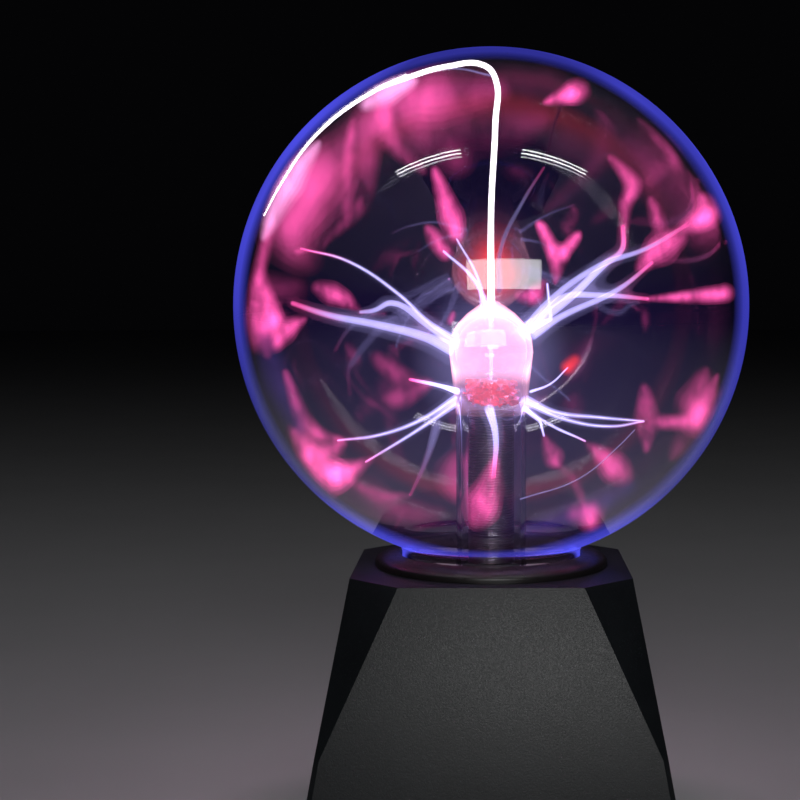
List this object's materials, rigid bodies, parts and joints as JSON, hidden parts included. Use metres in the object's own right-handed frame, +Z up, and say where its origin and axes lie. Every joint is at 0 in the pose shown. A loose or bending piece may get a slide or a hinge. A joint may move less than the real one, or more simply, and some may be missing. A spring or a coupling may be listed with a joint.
{
  "type": "plasma ball",
  "caption": "Clear glass globe with a central glass electrode stem, held by a round neck collar on a tapered plastic base with chamfered corners, a rear power socket and a slide switch.",
  "frame": {"origin": "on the table surface, under the middle of the globe", "axes": "+Z up along the globe's axis; -Y is the front; the power socket and the switch are on the +Y side; +X is to the right as seen from the front"},
  "size_m": [0.125, 0.125, 0.2008],
  "materials": {
    "globe_glass": "clear, polished",
    "stem_glass": "clear, fire-polished",
    "housing_plastic": "black, fine spark-eroded texture",
    "collar_plastic": "black, satin smooth",
    "cover_plastic": "black, matt",
    "black_plastic": "black, satin",
    "rubber": "matt",
    "silicone": "white, satin",
    "foam": "dark grey foam, matt",
    "steel": "zinc plated",
    "spring_steel": "dark, oiled",
    "metal_wool": "bright crumpled shreds",
    "aluminium": "satin",
    "nickel": "nickel plated",
    "laminate": "green solder resist",
    "ferrite": "dark grey, matt",
    "potting": "black potting",
    "red_plastic": "red, glossy",
    "black_sleeve": "black, satin",
    "blue_sleeve": "blue, glossy",
    "resistor_coat": "pale lacquer"
  },
  "bodies": {
    "base": {"glass_globe": "globe_glass", "electrode_stem": "stem_glass", "exhaust_tip": "stem_glass", "conductive_wool": "metal_wool", "contact_spring": "spring_steel", "stem_plug": "rubber", "neck_cup": "collar_plastic", "neck_bond": "silicone", "neck_gasket": "foam", "lock_ring": "black_plastic", "base_housing": "housing_plastic", "bottom_cover": "cover_plastic", "foot_front_left": "rubber", "foot_front_right": "rubber", "foot_rear_left": "rubber", "foot_rear_right": "rubber", "cover_screw_front": "steel", "cover_screw_rear": "steel", "cover_screw_left": "steel", "cover_screw_right": "steel", "board_screw_front_left": "steel", "board_screw_front_right": "steel", "board_screw_rear_left": "steel", "board_screw_rear_right": "steel", "driver_board": "laminate", "transformer_core": "ferrite", "transformer_coil": "potting", "power_transistor": "black_plastic", "heatsink": "aluminium", "transistor_screw": "steel", "capacitor_large": "blue_sleeve", "capacitor_small": "blue_sleeve", "film_capacitor": "red_plastic", "driver_chip": "black_plastic", "trimmer": "blue_sleeve", "resistor_1": "resistor_coat", "resistor_2": "resistor_coat", "resistor_3": "resistor_coat", "dc_jack_body": "black_plastic", "dc_jack_pin": "nickel", "dc_jack_nut": "nickel", "switch_frame": "steel", "switch_block": "black_plastic", "switch_screw_left": "steel", "switch_screw_right": "steel", "microphone": "aluminium", "high_voltage_lead": "red_plastic", "dc_lead_red": "red_plastic", "dc_lead_black": "black_sleeve", "switch_lead_red": "red_plastic", "switch_lead_black": "black_sleeve", "microphone_lead": "black_sleeve"},
    "switch": {"switch_knob": "black_plastic"}
  },
  "joints": [
    {"name": "switch_slide", "type": "slide", "parent": "base", "child": "switch", "axis": [1, 0, 0], "range_m": [0, 0.004]}
  ]
}
